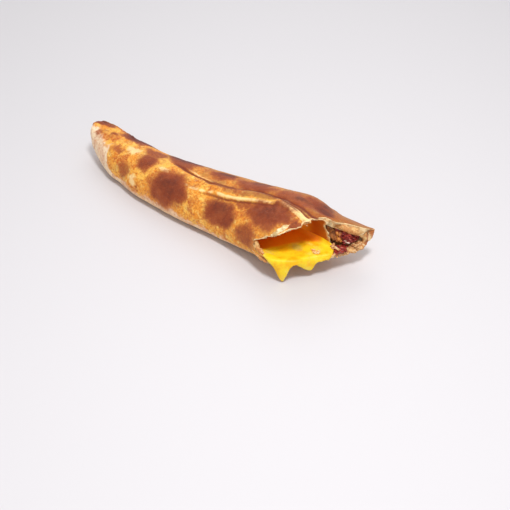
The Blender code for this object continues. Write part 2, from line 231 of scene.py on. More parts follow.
crust = copy_of("crust", "baked_dough")
bpy.ops.object.mode_set(mode="EDIT")
bpy.ops.mesh.select_mode(type="EDGE")
bpy.ops.mesh.edges_select_sharp(sharpness=math.radians(SHARP_CORNER))
bpy.ops.mesh.mark_sharp()
bpy.ops.transform.edge_crease(value=EDGE_STIFFNESS)
bpy.ops.mesh.select_all(action="DESELECT")
bpy.ops.mesh.select_mode(type="FACE")
bpy.ops.object.mode_set(mode="OBJECT")
centres = np.array([face.center for face in crust.data.polygons]) / MM
facing = np.array([face.normal for face in crust.data.polygons])
by_the_tail = np.abs(centres[:, 0] - ON_THE_TAIL) < 8.0
lowest = int(np.argmin(np.where(by_the_tail, centres[:, 2], np.inf)))
crust.data.polygons[lowest].select = True
bpy.ops.object.mode_set(mode="EDIT")
bpy.ops.mesh.select_linked(delimit={"SHARP"})
bpy.ops.object.mode_set(mode="OBJECT")
reached = np.array([face.select for face in crust.data.polygons])
print("skin faces:", int(reached.sum()), "of", len(reached))

# %% Sort the other faces into crumb and pockets
TEAR_START = 84.0  # no torn face lies nearer the tail than this
FORWARD = 0.42  # the least x of a torn face's normal
WALL = 2.5  # how far the divider's surface lies from its middle
DIVIDER_Y = ((-110.0, 13.0), (35.0, 9.0), (76.0, 8.0), (116.0, 4.0), (156.0, 2.0))

torn = ~reached & (facing[:, 0] > FORWARD) & (centres[:, 0] > TEAR_START)
past_divider = centres[:, 1] + WALL * facing[:, 1] > along(centres[:, 0], DIVIDER_Y)
surface = np.where(past_divider, MEAT_POCKET, CHEESE_POCKET)
surface = np.where(torn, CRUMB, surface)
surface = np.where(reached, SKIN, surface)
for name in ("skin", "crumb", "cheese_pocket", "meat_pocket"):
    crust.data.materials.append(bpy.data.materials.new(name))
crust.data.polygons.foreach_set("material_index", surface.astype(np.int32))
print("dough faces by surface:", np.bincount(surface, minlength=4))
subdivided(crust, 2)
print("dough:", len(crust.data.vertices), "points")
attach(crust, "root")
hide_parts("crust")

# %% [markdown]
# ## Measuring the dough
# The folded flap leaves two lines along the top: the seam where it was closed, and the
# flap's own edge beside it. Both are given in plan, as (x, y) stops, because they lie on top
# of the loaf. For every point of the mesh the next cell works out how far it is from these
# lines and from the torn edge. Most of the shapes and colours below follow from that.

# %% Measure every point against the seam, the flap and the tear
SEAM = (
    (-60, 11), (-38, 9), (-22, 5), (-4, 1), (10, -1), (32, 2), (59, 7), (86, 3), (101, -3),
    (113, -6), (126, -12),
)
FLAP_EDGE = (
    (-40, -11), (-13, -14), (2, -13.5), (21, -11), (50, -9.5), (71, -8.5), (90, -6.5),
    (111, -13), (126, -18),
)


def beside(points, line):
    """How far to the rear of a line in plan each point is, across the line."""
    xs, ys = np.array(line, float).T
    slope = np.interp(points[:, 0], 0.5 * (xs[1:] + xs[:-1]), np.diff(ys) / np.diff(xs))
    return (points[:, 1] - along(points[:, 0], line)) / np.hypot(1.0, slope)


points, normals = points_of(crust), normals_of(crust)
x, y, z = points.T
faces_of = np.zeros((len(points), 4), bool)
for face in crust.data.polygons:
    faces_of[list(face.vertices), face.material_index] = True


def nearness(kind, reach):
    """1 on the faces of this surface, falling to 0 at this distance from them."""
    members = points[faces_of[:, kind]]
    tree = kdtree.KDTree(len(members))
    for i, p in enumerate(members):
        tree.insert(p, i)
    tree.balance()
    return smooth(1.0 - np.array([tree.find(p)[2] for p in points]) / reach)


skin = faces_of[:, SKIN] & ~faces_of[:, CHEESE_POCKET] & ~faces_of[:, MEAT_POCKET]
on_top = skin * smooth(normals[:, 2] * 2.5)
wander = 0.9 * ripple(points, 12.0, 20)  # the lines aren't drawn with a ruler
seam, flap = beside(points, SEAM) + wander, beside(points, FLAP_EDGE) + wander
print("points on the skin:", int(skin.sum()), "on the crumb:", int(faces_of[:, CRUMB].sum()))

# %% [markdown]
# ## The dough's relief
# First every point moves along its own normal, by a few tenths of a millimetre to three
# millimetres. The crust is puffed and slightly uneven, creases run along the seam, and the
# flap's edge ends in a small step. The tail's near side is pushed out a little, the dough
# wrinkles near the mouth, and the torn crumb is rough.

# %% Puff the crust and press in the creases
CREASES = (  # offset from the seam, where it starts, is full, fades and ends, width, depth
    (0.0, -48, -20, 150, 160, 1.6, 2.1),
    (3.4, 0, 22, 78, 94, 1.2, 1.5),
    (5.0, 60, 82, 150, 160, 1.3, 1.3),
    (-4.0, 96, 104, 112, 122, 0.9, 0.7),
)
FULL_SHADE_DEPTH = 1.2  # a crease this deep gets the full painted shade
TAIL_PUSH = 2.6

puff = ripples(points, (0.9, 24.0, 1), (0.5, 9.0, 2), (0.22, 3.5, 3))
relief = skin * 0.55 * puff * smooth((z - 2.0) / 6.0)
# Painted shade in the creases: the deeper a crease, the darker it is painted.
crease_shade = np.zeros(len(points))
for offset, start, full, fade, end, width, depth in CREASES:
    line = ramp(x, start, full, fade, end) * ridge(seam - offset, width)
    relief = relief - on_top * line * depth
    crease_shade = np.maximum(crease_shade, line * min(1.0, depth / FULL_SHADE_DEPTH))
tail = smooth((-92.0 - x) / 24.0)
near_flank = smooth(-normals[:, 1] * 1.2) * smooth(z / 10.0)
relief = relief + skin * tail * near_flank * TAIL_PUSH

# %% Raise the flap's edge, wrinkle the mouth's roof and roughen the crumb
STEP = 0.9  # the flap's edge rises over this width
step_up = smooth((flap + 0.5) / STEP)
lip = step_up * smooth((seam + 1.0) / -3.0)
height = 0.4 + 1.6 * ramp(x, 5, 30, 76, 86) + 1.0 * ramp(x, 80, 92)
relief = relief + on_top * (lip * height * ramp(x, -30, 0))
wrinkled = skin * patch(points, (84, -20, 48), 26, 16, 0.5)
flattened = points * (1.0, 1.0, 0.6)
wrinkles = 0.9 * ripple(flattened, 5.0, 21) + 0.45 * ripple(points, 2.2, 22) - 0.5
relief = relief + wrinkled * wrinkles
crumbly = ripples(points, (0.55, 2.6, 4), (0.6, 5.5, 5))
relief = relief + faces_of[:, CRUMB] * crumbly
moved = points + normals * relief[:, None]
print("relief of the dough: %.1f to %.1f mm" % (relief.min(), relief.max()))

# %% [markdown]
# Then some parts move bodily. The torn edge is pulled out in ragged teeth, the tail's tip
# and its near corner stand up a little, and the top of the tail is knobbly.

# %% Pull out the torn edge and shape the tail's tip
TEAR_PULL = (1.0, -0.1, 0.25)
TIP_X, TIP_Y, TIP_SIZE, TIP_RISE = -157.0, 22.0, 9.0, 3.6
CORNER_PUSH = (-0.6, -0.8, 0.0)

teeth = ripples(points, (4.2, 5.5, 23), (2.0, 2.3, 24))
ragged = teeth * nearness(CRUMB, 5.0) * smooth((z - 14.0) / 8.0)
moved = moved + ragged[:, None] * np.array(TEAR_PULL)
tip = ridge(x - TIP_X, TIP_SIZE) * ridge(y - TIP_Y, TIP_SIZE)
moved[:, 2] += TIP_RISE * skin * smooth(normals[:, 2]) * tip
corner = skin * smooth((-146.0 - x) / 10.0) * smooth((z - 22.0) / 11.0)
moved += (3.6 * corner)[:, None] * np.array(CORNER_PUSH)
knobbly = skin * smooth((-96.0 - x) / 20.0) * smooth((z - 20.0) / 8.0)
moved[:, 2] += knobbly * ripples(points, (1.2, 7.0, 25), (0.9, 3.2, 26))
move_points(crust, np.clip(moved, low, high))
print("tear moved by up to %.1f mm" % np.abs(ragged).max())

# %% [markdown]
# ## The dough's colours, as masks
# Where the dough touched the hottest part of the oven it has round toasted spots, and where
# it lay against its neighbour it stayed pale. Each of these is a number at every point of
# the mesh, and the material further on turns the numbers into colours. The spots are round
# patches whose borders are warped by large and small ripples.

# %% Mark the toasted spots and scorches
TOASTED = (  # middle of the spot, half its length, half its width, strength
    ((-29, -18.5, 30.5), 24, 17, 1.0),
    ((38, -23, 30), 19.5, 13, 0.95),
    ((89, -19, 49), 28, 14.5, 1.0),
    ((60, -14, 43), 20, 4.5, 0.62),
    ((75, -33, 28), 14, 11, 0.63),
    ((-68, -1, 36), 13, 12, 0.8),
    ((-70, 14, 36), 16, 8, 0.66),
    ((-90, -12, 24), 10, 9, 0.56),
    ((-66, -21, 18), 3.5, 3, 0.6),
    ((-104, 29, 31), 24, 10.5, 0.95),
    ((-38, 20, 36), 19, 9.5, 0.9),
    ((12, 18, 40), 15, 8, 0.85),
    ((52, 18, 43), 24, 9, 0.8),
    ((88, 14, 49), 19, 9, 0.72),
    ((119, 17, 48), 15, 11, 0.85),
    ((106, 8, 54), 19, 8, 0.68),
    ((-112, 2, 31), 10, 5, 0.56),
    ((-146, 16, 33), 4, 4, 0.55),
    ((-131, 19, 35), 8, 5, 0.66),
    ((-155, 30, 35), 14, 7.6, 0.85),
    ((-2, -9, 36), 7, 4, 0.4),
    ((4, -22, 30), 6, 5, 0.35),
    ((121, -24, 54), 7, 6, 0.7),
    ((-36, 12, 37), 15, 6, 0.74),
    ((-130, 14, 35), 24, 9, 0.3),
)
SCORCHED = (  # the darkest places, most of them inside toasted spots
    ((-150, 38, 32), 12, 5, 0.9),
    ((-104, 32, 29), 24, 8, 1.3),
    ((-38, 24, 34), 22, 7, 1.2),
    ((126, 17, 47), 9, 6, 0.9),
    ((104, 11, 53), 9, 4.5, 0.8),
    ((86, -17, 50), 17, 8, 0.52),
    ((36, -18, 35), 12, 8, 0.56),
    ((-164, 30, 32), 5, 5, 0.8),
    ((14, 22, 38), 11, 5, 0.9),
    ((56, 25, 40), 18, 5, 0.9),
    ((122, 26, 43.5), 8, 5, 0.8),
    ((-31, -17, 32), 15, 9, 0.55),
)
warp = np.stack([ripple(points, 11.0, seed) for seed in (6, 7, 8)], 1)
fray = np.stack([ripple(points, 3.2, seed) for seed in (16, 17, 18)], 1)
warped = points + 4.0 * warp + 1.6 * fray


def spotted(spots, edge):
    """The strongest of several patches at every point, with warped borders."""
    return np.max([strength * patch(warped, *spot, edge) for *spot, strength in spots], axis=0)


paint(crust, "toast", skin * spotted(TOASTED, 0.5))
paint(crust, "scorch", skin * spotted(SCORCHED, 0.7))
print("spots:", len(TOASTED), "toasted,", len(SCORCHED), "scorched")

# %% [markdown]
# The pale side is everything below one line and nearer than another. Low down it is floury,
# and towards the tail it climbs nearly to the top.

# %% Mark the pale side and the underside
PALE_BELOW = (  # x, height of the pale side's upper border
    (-165, 38), (-142, 32), (-121, 30), (-116, 16), (-103, 11), (-87, 11.5), (-58, 11),
    (-35, 13), (-13, 12.5), (12, 11), (37, 9), (63, 10), (83, 14), (100, 17),
)
NEAR_OF = (  # x, the y that the pale side reaches back to
    (-165, 26), (-145, 16), (-121, 3), (-112, -3), (-60, -14), (160, -24),
)
BORDER = 8.0  # how wide the soft border is

under = along(x, PALE_BELOW) - z + 3.5 * warp[:, 0] + 2.4 * fray[:, 1]
before = along(x, NEAR_OF) - y + 4.0 * warp[:, 2] + 2.4 * fray[:, 0]
pale = smooth(under / BORDER + 0.5) * smooth(before / BORDER + 0.5)
paint(crust, "pale", pale)
paint(crust, "tail", smooth((-70.0 - x) / 40.0))
paint(crust, "underside", smooth((5.0 - z) / 6.0))
print("pale share of the dough: %.2f" % pale.mean())

# %% [markdown]
# The flap's raised edge gets a painted highlight, a light band that widens near the mouth.
# The creases get painted shade, and so does a thin line just in front of the flap's edge; the
# strips beside the seam are dark. A thin painted highlight runs along the seam's rear side.

# %% Mark the flap's edge, the seam and its crest
CREAMY = (  # light patches: middle, half the length, half the width, strength
    ((-93, 6, 35), 8, 5.5, 1.0),
    ((-12, -11.5, 35), 8, 2.6, 1.0),
    ((9, -10.5, 36), 9, 2.6, 1.0),
    ((-44, -4, 37), 7, 4, 1.0),
    ((-74, -20, 20), 6, 6, 1.0),
)
# Painted highlight along the flap's raised edge, widening near the mouth.
flap_band = step_up * smooth((4.2 - flap) / 3.8)
patchy = smooth(0.75 + 1.2 * ripple(points, 6.0, 9) + 0.6 * ramp(x, 20, 48))
edge_highlight = flap_band * ramp(x, -34, -8, 78, 92) * patchy
broad_highlight = ramp(x, 84, 106) * smooth(flap + 1.2) * smooth((-0.6 - seam) / 1.2)
paint(crust, "flap", on_top * np.maximum(edge_highlight, broad_highlight))

# Painted shadow: a dark line just in front of the flap's raised edge.
shade = 0.8 * ridge(flap + 1.5, 1.4) * ramp(x, -8, 24, 88, 98)
strips = (
    0.85 * ridge(seam + 0.7, 2.6) * ramp(x, -52, -30, 100, 124)
    + 0.6 * ridge(seam - 3.6, 1.9) * ramp(x, 0, 20)
    + 0.5 * ridge(seam + 4.0, 2.2) * ramp(x, 6, 30, 78, 94)
)
# The seam mask: painted shade in the creases and in front of the flap's edge, plus the browner
# strips.
paint(crust, "seam", on_top * np.clip(crease_shade + shade + strips, 0.0, 1.0))

# Painted highlight: a thin light line along the seam's rear side, joined by the light patches.
far_crest_highlight = 0.68 * ridge(seam - 3.4, 1.0) * ramp(x, -50, -30, 8, 26)
near_crest_highlight = 0.75 * ridge(seam - 1.9, 0.8) * ramp(x, 10, 30, 96, 110)
crest = far_crest_highlight + near_crest_highlight
paint(crust, "crest", skin * np.maximum(crest, 0.8 * spotted(CREAMY, 0.6)))
print("light patches:", len(CREAMY))

# %% Mark the brown rear, the torn edge and the pocket's bright end
darker = 0.32 + 0.24 * ramp(x, -60, 0) + 0.5 * ramp(x, 70, 104)
behind = smooth((seam - 1.0) / 5.0) * darker * smooth(normals[:, 2] + 0.9)
fold = 0.62 * smooth((flap - 2.6) / 2.5) * smooth((-0.5 - seam) / 2.0)
rear = np.maximum(behind * ramp(x, -90, -50), fold * ramp(x, 10, 36, 84, 96))
paint(crust, "rear", rear)
paint(crust, "torn", nearness(CRUMB, 1.6))
paint(crust, "outer", smooth((y - 32.0) / 6.0) * smooth((x - 146.0) / 6.0))
# Painted light deep in the cheese pocket, where its wall gets a brighter orange.
paint(crust, "painted_light_deep", smooth((124.0 - x) / 16.0) * smooth((y + 37.0) / 6.0))
painted = [a.name for a in crust.data.attributes if (a.domain, a.data_type) == ("POINT", "FLOAT")]
print("masks:", painted)

# %% [markdown]
# ## The dough's materials
# A material here is a stack of layers, like glazes: a base colour, then one colour after
# another laid over it through a mask. A few small helpers keep that readable. Two effects
# that all the surfaces share, frayed mask borders and a cloudy mottle, are node groups.

# %% Helpers that add one shader node each
def link(tree, source, target):
    tree.links.new(source, target)


def feed(tree, socket, value):
    """Sets a socket to a number or a colour, or links it to another node's output."""
    if isinstance(value, (int, float, tuple)):
        socket.default_value = value
    else:
        link(tree, value, socket)


def new_group(name, inputs):
    """A shader node group with named number inputs and one output, a mask."""
    group = bpy.data.node_groups.new(name, "ShaderNodeTree")
    for label, default in inputs.items():
        socket = group.interface.new_socket(label, in_out="INPUT", socket_type="NodeSocketFloat")
        socket.default_value = default
    group.interface.new_socket("Mask", in_out="OUTPUT", socket_type="NodeSocketFloat")
    return group, group.nodes.new("NodeGroupInput"), group.nodes.new("NodeGroupOutput")


def noise_node(tree, scale, detail=4.0, roughness=0.55):
    """Noise in the piece's own coordinates; the scale is in features per metre."""
    where, pattern = tree.nodes.new("ShaderNodeTexCoord"), tree.nodes.new("ShaderNodeTexNoise")
    link(tree, where.outputs["Object"], pattern.inputs["Vector"])
    pattern.inputs["Detail"].default_value = detail
    pattern.inputs["Roughness"].default_value = roughness
    feed(tree, pattern.inputs["Scale"], scale)
    return pattern.outputs["Fac"]


def arithmetic(tree, operation, first, second):
    node = tree.nodes.new("ShaderNodeMath")
    node.operation = operation
    feed(tree, node.inputs[0], first)
    feed(tree, node.inputs[1], second)
    return node.outputs[0]


def stretch(tree, value, start, end, at_start=0.0, at_end=1.0):
    """Maps start..end to 0..1, or to the given limits, with soft ends."""
    node = tree.nodes.new("ShaderNodeMapRange")
    node.interpolation_type = "SMOOTHSTEP"
    feed(tree, node.inputs["Value"], value)
    feed(tree, node.inputs["From Min"], start)
    feed(tree, node.inputs["From Max"], end)
    feed(tree, node.inputs["To Min"], at_start)
    feed(tree, node.inputs["To Max"], at_end)
    return node.outputs["Result"]


# %% Build the two shared node groups
broken, taken, given = new_group(
    "broken_edge", {"Mask": 0.0, "Scale": 200.0, "Amount": 0.5, "Softness": 0.2}
)
grain = arithmetic(broken, "SUBTRACT", noise_node(broken, taken.outputs["Scale"], 5.0, 0.65), 0.5)
shifted = arithmetic(broken, "MULTIPLY", grain, taken.outputs["Amount"])
total = arithmetic(broken, "ADD", taken.outputs["Mask"], shifted)
lower = arithmetic(broken, "SUBTRACT", 0.5, taken.outputs["Softness"])
upper = arithmetic(broken, "ADD", 0.5, taken.outputs["Softness"])
link(broken, stretch(broken, total, lower, upper), given.inputs["Mask"])

mottle, taken, given = new_group("mottle", {"Scale": 60.0, "Low": 0.4, "High": 0.6})
cloudy = noise_node(mottle, taken.outputs["Scale"], 6.0, 0.6)
clouds = stretch(mottle, cloudy, taken.outputs["Low"], taken.outputs["High"])
link(mottle, clouds, given.inputs["Mask"])
print("node groups:", [group.name for group in bpy.data.node_groups])


# %% Helpers for layered materials
def material(name, roughness):
    """The named material, with only a Principled shader, which is returned with its tree."""
    made = bpy.data.materials.get(name) or bpy.data.materials.new(name)
    made.use_nodes = True
    shader = made.node_tree.nodes["Principled BSDF"]
    shader.inputs["Roughness"].default_value = roughness
    return made.node_tree, shader


def mask_of(tree, name):
    """The number painted on the mesh under this name."""
    node = tree.nodes.new("ShaderNodeAttribute")
    node.attribute_name = name
    return node.outputs["Fac"]


def grouped(tree, group, **values):
    """Places a shared group with its own values, and returns its output."""
    node = tree.nodes.new("ShaderNodeGroup")
    node.node_tree = group
    for label, value in values.items():
        feed(tree, node.inputs[label], value)
    return node.outputs[0]


def layered(tree, under, over, mask, strength=1.0):
    """One colour laid over another through a mask."""
    node = tree.nodes.new("ShaderNodeMix")
    node.data_type = "RGBA"
    if strength != 1.0:
        mask = arithmetic(tree, "MULTIPLY", mask, strength)
    factor, first, second = (node.inputs[i] for i in (0, 6, 7))
    feed(tree, factor, mask)
    feed(tree, first, under)
    feed(tree, second, over)
    return node.outputs[2]


def glazed(tree, base, *glazes):
    """Cloudy glazes over a base: (colour, clouds per metre, thin at, full at, strength)."""
    for colour, scale, thin, full, strength in glazes:
        clouds = grouped(tree, mottle, Scale=scale, Low=thin, High=full)
        base = layered(tree, base, colour, clouds, strength)
    return base


def marked(tree, base, colour, mask, scale, amount, softness, strength=1.0):
    """A colour over a base where a mask is high, with a frayed border."""
    frayed = grouped(tree, broken, Mask=mask, Scale=scale, Amount=amount, Softness=softness)
    return layered(tree, base, colour, frayed, strength)


def rough_up(tree, shader, scale, detail, roughness, height):
    """Fine relief from noise; its height is in millimetres."""
    bump = tree.nodes.new("ShaderNodeBump")
    bump.inputs["Strength"].default_value = 1.0
    bump.inputs["Distance"].default_value = height * MM
    link(tree, noise_node(tree, scale, detail, roughness), bump.inputs["Height"])
    link(tree, bump.outputs["Normal"], shader.inputs["Normal"])


# %% [markdown]
# The baked skin runs from cream through gold to dark brown. Gold comes first, with a cloudy
# mottle of lighter and darker patches. Over it come the brown rear, the floury pale side
# with its pink border, and the painted highlight on the flap's edge. The toasted spots, whose
# brown has a warmer rim, and the creases with their painted shade come last.

# %% Bake the skin: the gold, the rear and the pale side
GOLD, LIGHT_GOLD, AMBER = tone(232, 144, 42), tone(253, 191, 80), tone(196, 96, 26)
STRAW, YOLK, TAN = tone(255, 221, 126), tone(255, 211, 106), tone(168, 76, 26)
REAR_BROWN, BLUSH = tone(142, 66, 24), tone(238, 168, 108)
CREAM, SAND, CLAY = tone(255, 226, 186), tone(226, 172, 130), tone(196, 122, 84)
FLOUR_WHITE = tone(255, 232, 206)

tree, shader = material("skin", roughness=0.5)
shader.inputs["Specular IOR Level"].default_value = 0.28
base = glazed(
    tree, GOLD,
    (LIGHT_GOLD, 70.0, 0.46, 0.6, 0.95),
    (AMBER, 58.0, 0.5, 0.64, 0.9),
    (STRAW, 150.0, 0.54, 0.7, 0.7),
    (YOLK, 620.0, 0.48, 0.62, 0.5),
    (TAN, 460.0, 0.5, 0.66, 0.55),
)
base = marked(tree, base, REAR_BROWN, mask_of(tree, "rear"), 70.0, 2.2, 0.42, 0.75)
pale_side = mask_of(tree, "pale")
wider = arithmetic(tree, "ADD", pale_side, 0.16)
base = marked(tree, base, BLUSH, wider, 130.0, 1.2, 0.3, 0.75)
flour = glazed(
    tree, CREAM,
    (SAND, 110.0, 0.44, 0.6, 0.75),
    (CLAY, 300.0, 0.5, 0.64, 0.6),
    (FLOUR_WHITE, 620.0, 0.5, 0.64, 0.6),
)
floury = grouped(tree, broken, Mask=pale_side, Scale=230.0, Amount=1.9, Softness=0.3)
most_at_the_tail = stretch(tree, mask_of(tree, "tail"), 0.0, 1.0, 0.72, 1.0)
base = layered(tree, base, flour, arithmetic(tree, "MULTIPLY", floury, most_at_the_tail))

# %% Finish the skin: the flap, the spots, the creases and the torn edge
FLAP_HIGHLIGHT_CREAM, CREST_HIGHLIGHT_AND_PATCH_CREAM = tone(255, 220, 150), tone(255, 222, 160)
RIM_BROWN, TOAST, DARK_TOAST = tone(184, 94, 40), tone(136, 56, 24), tone(106, 42, 24)
RUSSET, HAZEL = tone(164, 84, 44), tone(172, 92, 54)
SEAM_BROWN_AND_SHADE, SCORCH_BLACK = tone(122, 48, 22), tone(84, 34, 26)
SOLE_CREAM, TORN_CREAM = tone(236, 200, 150), tone(246, 214, 160)

# Painted highlight on the flap's raised edge.
base = marked(tree, base, FLAP_HIGHLIGHT_CREAM, mask_of(tree, "flap"), 110.0, 0.6, 0.3, 0.95)
# Painted highlight along the seam's crest, and the light patches.
base = marked(tree, base, CREST_HIGHLIGHT_AND_PATCH_CREAM, mask_of(tree, "crest"), 300.0, 0.9, 0.3, 0.8)
toasted = mask_of(tree, "toast")
rim = arithmetic(tree, "ADD", toasted, 0.12)
base = marked(tree, base, RIM_BROWN, rim, 420.0, 0.9, 0.36, 0.85)
crisp = glazed(
    tree, TOAST,
    (DARK_TOAST, 120.0, 0.48, 0.7, 0.7),
    (RUSSET, 45.0, 0.46, 0.64, 0.55),
    (HAZEL, 380.0, 0.54, 0.72, 0.5),
)
middle = arithmetic(tree, "SUBTRACT", toasted, 0.05)
base = marked(tree, base, crisp, middle, 560.0, 0.75, 0.34, 0.96)
# Seam colour: browner strips, with painted shade in the creases and in front of the flap's edge.
base = marked(tree, base, SEAM_BROWN_AND_SHADE, mask_of(tree, "seam"), 180.0, 0.5, 0.3, 0.9)
base = marked(tree, base, SCORCH_BLACK, mask_of(tree, "scorch"), 260.0, 1.0, 0.45, 0.7)
base = layered(tree, base, SOLE_CREAM, mask_of(tree, "underside"), 0.8)
base = marked(tree, base, TORN_CREAM, mask_of(tree, "torn"), 110.0, 1.1, 0.15)
link(tree, base, shader.inputs["Base Color"])
rough_up(tree, shader, 620.0, 5.0, 0.6, 0.7)
print("skin:", len(tree.nodes), "nodes")

# %% [markdown]
# Where the dough is torn its crumb is cream, with golden and brown bits. The cheese pocket's
# wall is soaked with orange fat; its dark orange is partly painted shade, and deeper in a
# brighter orange is painted light. The meat pocket's wall is dull and stained.

# %% Colour the crumb
tree, shader = material("crumb", roughness=0.75)
base = glazed(
    tree, tone(244, 214, 164),
    (tone(222, 170, 108), 260.0, 0.45, 0.62, 1.0),
    (tone(150, 84, 44), 420.0, 0.6, 0.72, 0.7),
)
base = marked(tree, base, tone(186, 104, 46), mask_of(tree, "outer"), 240.0, 0.9, 0.3, 0.9)
link(tree, base, shader.inputs["Base Color"])
rough_up(tree, shader, 900.0, 6.0, 0.7, 1.0)
print("crumb:", len(tree.nodes), "nodes")

# %% Colour the walls of the two pockets
tree, shader = material("cheese_pocket", roughness=0.38)
# The wall's dark orange is fat-soaked dough partly darkened as painted shade; deeper in, a
# brighter orange is painted light.
base = glazed(tree, tone(170, 70, 6), (tone(184, 84, 10), 60.0, 0.4, 0.7, 1.0))
base = layered(tree, base, tone(255, 170, 40), mask_of(tree, "painted_light_deep"))
base = layered(tree, base, tone(244, 206, 150), mask_of(tree, "torn"), 0.8)
link(tree, base, shader.inputs["Base Color"])

tree, shader = material("meat_pocket", roughness=0.6)
base = glazed(
    tree, tone(230, 190, 134),
    (tone(196, 128, 74), 120.0, 0.42, 0.62, 1.0),
    (tone(132, 66, 36), 300.0, 0.58, 0.7, 0.8),
)
link(tree, base, shader.inputs["Base Color"])
rough_up(tree, shader, 600.0, 5.0, 0.6, 0.8)
print("pocket walls:", len(tree.nodes), "nodes behind the meat")

# %% [markdown]
# ## The melted cheese
# The cheese is smooth and glossy. It runs over the dough's lip, and its free hem hangs down
# in two drips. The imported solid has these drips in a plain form. Here they get their finer
# outline: at each y the part of the cheese that hangs below the lip is stretched from the
# solid's hem down to the finer one. Then the cheese's rear side is pushed into the divider,
# so that no gap shows between them.

# %% Shape the cheese
LIP_TOP = 20.0  # cheese in front of the lip hangs below this height
LIP_X, LIP_Y = 106.0, -7.0  # the lip lies beyond this x, and nearer than this y
SOLID_HEM = (  # y, height of the solid's hem
    (-44, 17), (-42, 8), (-40, 4.6), (-38, 2.2), (-36, 3.8), (-34, 8.6), (-32, 13),
    (-30, 15.2), (-28, 15.8), (-26, 14.8), (-24, 13), (-22, 11.4), (-20, 10.9), (-18, 11.5),
    (-16, 11.6), (-14, 12.7), (-12, 13.9), (-10, 14.8), (-8, 15.8),
)
DRIPPING_HEM = (  # y, height of the finer hem
    (-44, 18), (-43, 14), (-41.8, 8), (-40.2, 3), (-38.6, 1), (-36.6, 7), (-34.8, 14.5),
    (-33, 17.6), (-30, 18.2), (-26.5, 14), (-23, 9.7), (-20, 8.2), (-17.6, 8.5),
    (-15.8, 13.5), (-14, 16.2), (-12, 15.8), (-9, 17.2),
)
PUSH_INTO_DIVIDER = 1.8

cheese = copy_of("cheese", "melted_cheese")
subdivided(cheese, 2)
points, normals = points_of(cheese), normals_of(cheese)
flow = ripples(points, (0.35, 6.0, 11), (0.25, 14.0, 12))
move_points(cheese, np.clip(points + normals * flow[:, None], low, high))
rounding = cheese.modifiers.new("Rounding", "SMOOTH")
rounding.factor, rounding.iterations = 0.5, 30
apply_modifier(cheese, rounding)

points = points_of(cheese)
hanging = (points[:, 0] > LIP_X) & (points[:, 1] < LIP_Y) & (points[:, 2] < LIP_TOP)
finer, plain = along(points[:, 1], DRIPPING_HEM), along(points[:, 1], SOLID_HEM)
stretched = LIP_TOP - (LIP_TOP - points[:, 2]) * (LIP_TOP - finer) / (LIP_TOP - plain)
points[:, 2] = np.where(hanging, stretched, points[:, 2])
move_points(cheese, np.clip(points, low, high))

points = points_of(cheese)
past = points[:, 1] - along(points[:, 0], DIVIDER_Y)
by_divider = smooth((past + 8.0) / 5.0) * smooth((points[:, 2] - 17.0) / 3.0)
points[:, 1] += PUSH_INTO_DIVIDER * by_divider
move_points(cheese, np.clip(points, low, high))
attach(cheese, "root")
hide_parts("cheese")
print("cheese:", len(points), "points,", int(hanging.sum()), "of them in the drips")

# %% [markdown]
# The cheese is bright yellow at the front. Behind a slanting line inside the pocket it is deep
# orange, a painted shadow of the roof's edge. A little light scatters under its surface. A
# small grey-green smear lies on top.

# %% Colour the cheese
ROOF_SHADOW_LINE = ((-45, 84), (-33, 93), (-24, 100.5), (-14, 109.5), (-5, 119), (5, 131))  # y, x
SMEAR = ((118.0, -14.6, 23), 5.5, 4.0)  # middle, half its length, half its width

# Painted shadow of the roof's edge: behind this line the cheese turns deep orange.
depth = (along(points[:, 1], ROOF_SHADOW_LINE) - points[:, 0]) / 5.0
paint(cheese, "depth", smooth(0.5 + depth))
paint(cheese, "smear", 0.8 * patch(points, *SMEAR, 0.6))


def own_material(piece, name, roughness):
    """A new material for the piece, given back as its tree and its shader."""
    piece.data.materials.append(bpy.data.materials.new(name))
    return material(name, roughness)


tree, shader = own_material(cheese, "cheese", roughness=0.5)
shader.inputs["Specular IOR Level"].default_value = 0.35
shader.inputs["Subsurface Weight"].default_value = 0.25
shader.inputs["Subsurface Radius"].default_value = (0.006, 0.003, 0.0006)
shader.inputs["Subsurface Scale"].default_value = 0.5
base = glazed(
    tree, tone(255, 214, 30),
    (tone(250, 186, 8), 110.0, 0.45, 0.65, 1.0),
    (tone(255, 226, 96), 75.0, 0.52, 0.68, 0.7),
    (tone(222, 160, 40), 260.0, 0.6, 0.74, 0.55),
)
base = marked(tree, base, tone(186, 172, 90), mask_of(tree, "smear"), 260.0, 0.9, 0.4, 0.6)
# Painted shadow of the roof's edge, in deep orange.
base = layered(tree, base, tone(248, 140, 12), mask_of(tree, "depth"))
link(tree, base, shader.inputs["Base Color"])
print("cheese:", len(tree.nodes), "nodes")

# %% [markdown]
# ## The cured meat
# The rear pocket is packed with shredded cured meat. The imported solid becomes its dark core,
# and shreds and bits of fat lie on it. Each kind is one piece made of many small rough
# lumps: round lumps are pulled long for shreds, and noise bends them. The same helper makes
# the crumbs further on.

